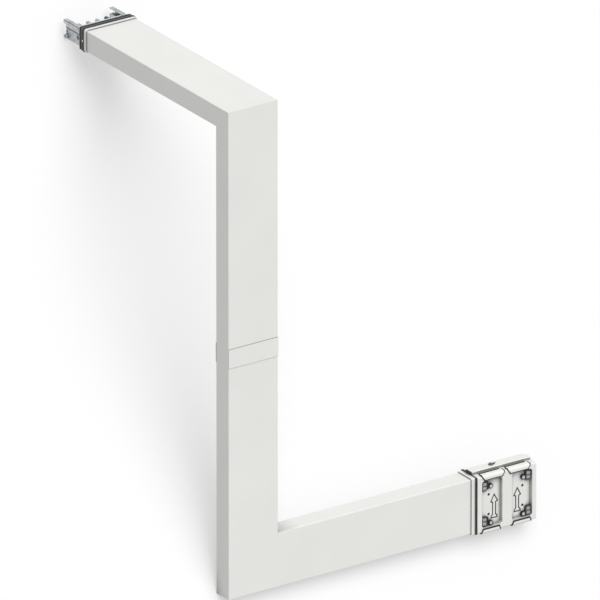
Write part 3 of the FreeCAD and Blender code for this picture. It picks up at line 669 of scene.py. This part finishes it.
def slab(half, height, edge):
    """Three arrays, across, deep and high: superellipse rings at the foot, the wall's top and the face."""
    angles = np.linspace(0, 2 * math.pi, ROUND_STEPS, endpoint=False)
    ring = np.stack([np.cos(angles), np.sin(angles)], axis=1)
    ring = np.sign(ring) * np.abs(ring) ** (2 / SQUARENESS)
    sizes = np.array([(0, 0), half, half, np.array(half) - edge, (0, 0)])
    depths = np.array([0, 0, height - edge, height, height])
    flat = sizes[:, None, :] * ring
    deep = np.broadcast_to(depths[:, None], flat.shape[:2])
    return flat[:, :, 0], deep, flat[:, :, 1]


# %% Pads, patches and catch, the pads and the catch as painted shade
PAD_HALF = (2.2, 10.5)
PAD_HEIGHT = 5
PAD_EDGE = 0.5
LEFT_KEEPERS = {"upper": "screw_keeper_1", "lower": "screw_keeper_3"}
PAN_BACK = hung_box("joint_front_cover")[1][1]
PATCH_HALF = (6, 6)
PATCH_HEIGHT = 1
PATCH_EDGE = 0.3
DIMPLE_SHADE_PLACE = (-65, 693.2, 1191.6)
DIMPLE_SHADE_HALF = (1.6, 3.2)
DIMPLE_SHADE_HEIGHT = 0.8
DIMPLE_SHADE_EDGE = 0.3

# Black pads as painted shade in the gap between each left keeper and its screw.
across, deep, high = slab(PAD_HALF, PAD_HEIGHT, PAD_EDGE)
for word, keeper in LEFT_KEEPERS.items():
    corners = hung_box(keeper)
    side = corners[1][0] + PAD_HALF[0]
    level = np.mean(corners, axis=0)[2]
    grid = np.stack([side + across, PAN_FACE - deep, level + high], axis=-1)
    put_grid(f"{word}_keeper_shade_pad", grid, RUBBER)
across, deep, high = slab(PATCH_HALF, PATCH_HEIGHT, PATCH_EDGE)
for word in ("upper", "lower"):
    hole = hung(mounts[f"right_{word}_pan_hole"]["pos_m"])
    grid = np.stack([hole[0] + across, PAN_BACK + deep, hole[2] + high], axis=-1)
    put_grid(f"{word}_hole_patch", grid, RUBBER)
# A black catch stands in for the shade of a dimple in the web: painted shade.
across, deep, high = slab(DIMPLE_SHADE_HALF, DIMPLE_SHADE_HEIGHT, DIMPLE_SHADE_EDGE)
grid = np.stack([DIMPLE_SHADE_PLACE[0] - deep, DIMPLE_SHADE_PLACE[1] + across, DIMPLE_SHADE_PLACE[2] + high], axis=-1)
put_grid("left_rail_dimple_shade", grid, RUBBER)
print("two pads, two patches and a catch")

# %% Inserts of the keepers
INSERT_HALF = (5.4, 4.0)
INSERT_STEP = 5.5
INSERT_HEIGHT = 0.8
INSERT_EDGE = 0.4

across, deep, high = slab(INSERT_HALF, INSERT_HEIGHT, INSERT_EDGE)
for count in range(2 * SCREW_COUNT):
    corners = hung_box(f"screw_keeper_{count // 2 + 1}")
    middle = np.mean(corners, axis=0)
    level = middle[2] + (-INSERT_STEP if count % 2 else INSERT_STEP)
    grid = np.stack([middle[0] + across, corners[0][1] - deep, level + high], axis=-1)
    put_grid(f"keeper_insert_{count + 1}", grid, DULL_PLATE)
print(2 * SCREW_COUNT, "inserts, two to a keeper")

# %% [markdown]
# ## Shade strips of the clips
# Black rubber strips, level with the sheet, stand in for the shade along the free edges of the four
# folded clips: painted shade. An end's strip is a small rectangle carried along the clip's end: flat
# over the cover's top, round its edge on two circles about one centre, and down its face, where the
# clip's flange narrows and the strip follows. The right ends have the wider strip. A straight strip
# lies along the foot of the flange, and another one fills the slot behind the clip's lip as painted
# shade for the slot. The clips under the joint are the upper ones turned over.

# %% Section of a clip and a straight strip
cover_low, cover_high = hung_box("joint_front_cover")
clip_low, clip_high = hung_box("cover_clip_1")
COVER_FRONT = cover_low[1]
COVER_EDGE = cover_high[2]
COVER_ROUND = 4
CLIP_BACK = clip_high[1]
CLIP_FOOT = clip_low[2]
CLIP_GAUGE = COVER_FRONT - clip_low[1]
STRIP_BEVEL = 0.4


def capped(rows):
    """Rows with both ends closed: the middle of the first and of the last row, each as a row of its own."""
    ends = [np.broadcast_to(row.mean(axis=0), row.shape)[None] for row in (rows[0], rows[-1])]
    return np.concatenate([ends[0], rows, ends[1]])


def strip(start, end, depths, levels):
    """Rectangle of two depths and two levels, its corners cut by the bevel, carried from start to end."""
    cut = STRIP_BEVEL * np.array([1, 0, 0, 1, 1, 0, 0, 1])
    rest = STRIP_BEVEL - cut
    depth = np.repeat([depths[0], depths[1], depths[1], depths[0]], 2) + rest * np.repeat([1, -1, -1, 1], 2)
    level = np.repeat([levels[0], levels[0], levels[1], levels[1]], 2) + cut * np.repeat([1, 1, -1, -1], 2)
    rows = [np.stack([np.full(depth.shape, along), depth, level], axis=1) for along in (start, end)]
    return capped(np.array(rows))


print("clips of", CLIP_GAUGE, "mm sheet end at", CLIP_FOOT, "mm")

# %% Black strips of painted shade along the clips and in their slots
LEFT_WIDTH = 1.6
RIGHT_WIDTH = 3.2
FOOT_WIDTH = 2.8
SLOT_BACK = -10
SLOT_LEVELS = (73, 75.6)
ARC_STEPS = 10
UPPER_TAPER = 6
UNDER_TAPER = 4
CLIP_ROWS = [("upper", (1, 2), UPPER_TAPER, 1), ("under", (3, 4), UNDER_TAPER, -1)]


def end_shade_strip(end, reach, taper):
    """Path back to front and down: straight, quarter circle, straight; reach outwards, gauge across."""
    angles = np.linspace(0, math.pi / 2, ARC_STEPS)
    hub = (COVER_FRONT + COVER_ROUND, COVER_EDGE - COVER_ROUND)

    def side(radius):
        arc = np.stack([hub[0] - radius * np.sin(angles), hub[1] + radius * np.cos(angles)], axis=1)
        return np.concatenate([[(CLIP_BACK, hub[1] + radius)], arc, [(hub[0] - radius, CLIP_FOOT)]])

    inner, outer = side(COVER_ROUND), side(COVER_ROUND + CLIP_GAUGE)
    drop = np.clip((COVER_EDGE - outer[:, 1]) / (COVER_EDGE - CLIP_FOOT), 0, 1)
    near = end - math.copysign(taper, reach) * drop
    corners = [(near, inner), (near, outer), (near + reach, outer), (near + reach, inner)]
    runs = [np.column_stack([along, flat]) for along, flat in corners]
    return capped(np.stack(runs, axis=1))


for word, solids, taper, turn in CLIP_ROWS:
    for count, solid in enumerate(solids, 1):
        start, end = [corner[0] for corner in hung_box(f"cover_clip_{solid}")]
        foot = strip(start + taper - LEFT_WIDTH, end - taper + RIGHT_WIDTH,
                     (COVER_FRONT - CLIP_GAUGE, COVER_FRONT), (CLIP_FOOT - FOOT_WIDTH, CLIP_FOOT))
        # Each strip is black rubber put where there is shade: painted shade.
        shade_strips = {"left_edging": end_shade_strip(start, -LEFT_WIDTH, taper),
                "right_edging": end_shade_strip(end, RIGHT_WIDTH, taper),
                "foot_shade_strip": foot,
                "slot_shade_strip": strip(start, end, (CLIP_BACK, SLOT_BACK), SLOT_LEVELS)}
        for piece, grid in shade_strips.items():
            put_grid(f"{word}_clip_{count}_{piece}", grid * (1, 1, turn), RUBBER)
print("each clip has", len(shade_strips), "strips:", *shade_strips)

# %% [markdown]
# ## Spring behind the stud
# A short leaf spring runs from the stud to the back edge of the ridge. It tapers in width and height,
# so it is one rectangle carried along a straight path and shrunk as it goes.

# %% Leaf spring on the ridge
RIDGE_TOP = hung_box("joint_back_cover")[1][2]
SPRING_ENDS = np.array([(734.5, 4.0), (746.5, 10.6)])
SPRING_HALF = (1.9, 0.8)
SPRING_HEIGHT = (3.0, 1.0)


def leaf_spring():
    """Rectangle along a straight path: half width and height fall evenly from first to second value."""
    share = np.array([0, 0, 0.5, 1, 1])[:, None]
    open_row = np.array([0, 1, 1, 1, 0])[:, None]
    run = SPRING_ENDS[1] - SPRING_ENDS[0]
    side = np.array([-run[1], run[0]]) / np.linalg.norm(run)
    half = open_row * (SPRING_HALF[0] + share * (SPRING_HALF[1] - SPRING_HALF[0]))
    rise = SPRING_HEIGHT[0] + share * (SPRING_HEIGHT[1] - SPRING_HEIGHT[0])
    flat = SPRING_ENDS[0] + share[:, :, None] * run + (half * np.array([-1, 1, 1, -1]))[:, :, None] * side
    high = RIDGE_TOP + open_row * rise * np.array([0, 0, 1, 1])
    return np.concatenate([flat, high[:, :, None]], axis=-1)


put_grid("ridge_leaf_spring", leaf_spring(), DARK_STEEL)
print("leaf spring", np.round(np.linalg.norm(np.ptp(SPRING_ENDS, axis=0)), 1), "mm long")

# %% [markdown]
# ## Arrow marks
# An arrow in each window shows which way up the joint goes. It is an outline of ink, so the shape is a
# closed path carried with a small flat section: the corners are moved in and out along the bisector of
# their two edges, which keeps the line one width all the way round.

# %% Printed arrow outlines
ARROW_PLACES = {"left": (719.3, 16.8), "right": (788.5, 16.8)}
ARROW_HALF = np.array([(0, 0), (10, -19), (4.4, -21.3), (4.4, -54.2), (8.5, -57.5), (9, -62.6)])
INK_WIDTH = 2.8
INK_HEIGHT = 0.25


def offset(path, step):
    """Closed path moved sideways: corners go along their bisector, by the step over its cosine."""
    edge = np.roll(path, -1, axis=0) - path
    normal = np.stack([edge[:, 1], -edge[:, 0]], axis=1) / np.linalg.norm(edge, axis=1)[:, None]
    before = np.roll(normal, 1, axis=0)
    bisector = normal + before
    bisector = bisector / np.linalg.norm(bisector, axis=1)[:, None]
    return path + step * bisector / (bisector * normal).sum(axis=1)[:, None]


def arrow(along, tip):
    """Section of four corners, inner and outer at the face and at the ink's height, round the arrow."""
    mirror = ARROW_HALF[:0:-1] * np.array([-1, 1])
    path = np.concatenate([ARROW_HALF, mirror])
    half = INK_WIDTH / 2
    rows = []
    for side, height in ((-half, 0), (half, 0), (half, INK_HEIGHT), (-half, INK_HEIGHT)):
        flat = offset(path, side)
        front = np.full(len(flat), PAN_FACE - height)
        rows.append(np.stack([along + flat[:, 0], front, tip + flat[:, 1]], axis=1))
    return np.array(rows)


for word, (along, tip) in ARROW_PLACES.items():
    put_grid(f"{word}_arrow_mark", arrow(along, tip), INK, wrap_rows=True)
print(len(ARROW_PLACES), "arrow marks")

# %% [markdown]
# ## Floor and light
# A plain pale floor takes the shadow. For the camera and for mirror rays it also glows by what its
# matt grey swallows, so that the paper-white background of the drawing comes back without more light
# on the elbow, and the shadow stays light. A soft sun from over the camera's right shoulder makes the
# top faces brightest and the left sides darkest, and an even sky fills the rest at a plain level.

# %% Floor
FLOOR_HALF = 12.0
FLOOR_GREY = 0.45
FLOOR_GLOW = 0.485


def seen_rays(tree):
    """One for camera, glossy and transmission rays, which show the background, and nothing for the rest."""
    rays = add_node(tree, "ShaderNodeLightPath")
    mirror = add_node(tree, "ShaderNodeMath", {"operation": "MAXIMUM"}, None,
                      {0: (rays, "Is Glossy Ray"), 1: (rays, "Is Transmission Ray")})
    return add_node(tree, "ShaderNodeMath", {"operation": "MAXIMUM"}, None,
                    {0: (rays, "Is Camera Ray"), 1: (mirror, "Value")})


ground = bpy.data.meshes.new("floor")
corners = FLOOR_HALF * np.array([(-1, -1, 0), (1, -1, 0), (1, 1, 0), (-1, 1, 0)])
ground.from_pydata(corners.tolist(), [], [(0, 1, 2, 3)])
floor = bpy.data.objects.new("floor", ground)
bpy.context.scene.collection.objects.link(floor)
floor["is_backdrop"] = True
matt, tree, _, output = new_finish("matt_pale_floor")
paper = add_node(tree, "ShaderNodeBsdfDiffuse", None, {"Color": (FLOOR_GREY, FLOOR_GREY, FLOOR_GREY, 1)})
lift = add_node(tree, "ShaderNodeMath", {"operation": "MULTIPLY"}, {1: FLOOR_GLOW},
                {0: (seen_rays(tree), "Value")})
glow = add_node(tree, "ShaderNodeEmission", None, None, {"Strength": (lift, "Value")})
both = add_node(tree, "ShaderNodeAddShader", None, None, {0: (paper, "BSDF"), 1: (glow, "Emission")})
tree.links.new(both.outputs["Shader"], output.inputs["Surface"])
ground.materials.append(matt)
print("floor", 2 * FLOOR_HALF, "m wide")

# %% Sky and sun
SKY = 0.46
SUN_SHARE = 0.69
SUN_RIGHT = 0.4
SUN_RAISED = 0.6
SUN_ANGLE = math.radians(50)

world = bpy.data.worlds.new("studio")
world.use_nodes = True
bpy.context.scene.world = world
tree = world.node_tree
tree.nodes.clear()
sky = add_node(tree, "ShaderNodeBackground", None, {"Color": (1, 1, 1, 1), "Strength": SKY})
white = add_node(tree, "ShaderNodeBackground", None, {"Color": (1, 1, 1, 1), "Strength": 1.0})
choice = add_node(tree, "ShaderNodeMixShader", None, None,
                  {0: (seen_rays(tree), "Value"), 1: (sky, "Background"), 2: (white, "Background")})
add_node(tree, "ShaderNodeOutputWorld", None, None, {"Surface": (choice, "Shader")})

sun_from = (view_back + SUN_RIGHT * view_right + SUN_RAISED * view_up) @ AXES
toward = sun_from / np.linalg.norm(sun_from)
sun = bpy.data.objects.new("sun", bpy.data.lights.new("sun", "SUN"))
sun.data.energy = math.pi * SUN_SHARE / toward[2]
sun.data.angle = SUN_ANGLE
side = np.cross([0, 1, 0], toward)
side = side / np.linalg.norm(side)
pose = np.eye(4)
pose[:3, :3] = np.array([side, np.cross(toward, side), toward]).T
sun.matrix_world = Matrix(pose.tolist())
bpy.context.scene.collection.objects.link(sun)
bpy.context.scene.view_settings.view_transform = "Standard"
print("sun energy", round(sun.data.energy, 2))

# %% Boxes and the end
low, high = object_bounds()
print("visual box", [round(side, 3) for side in high - low])
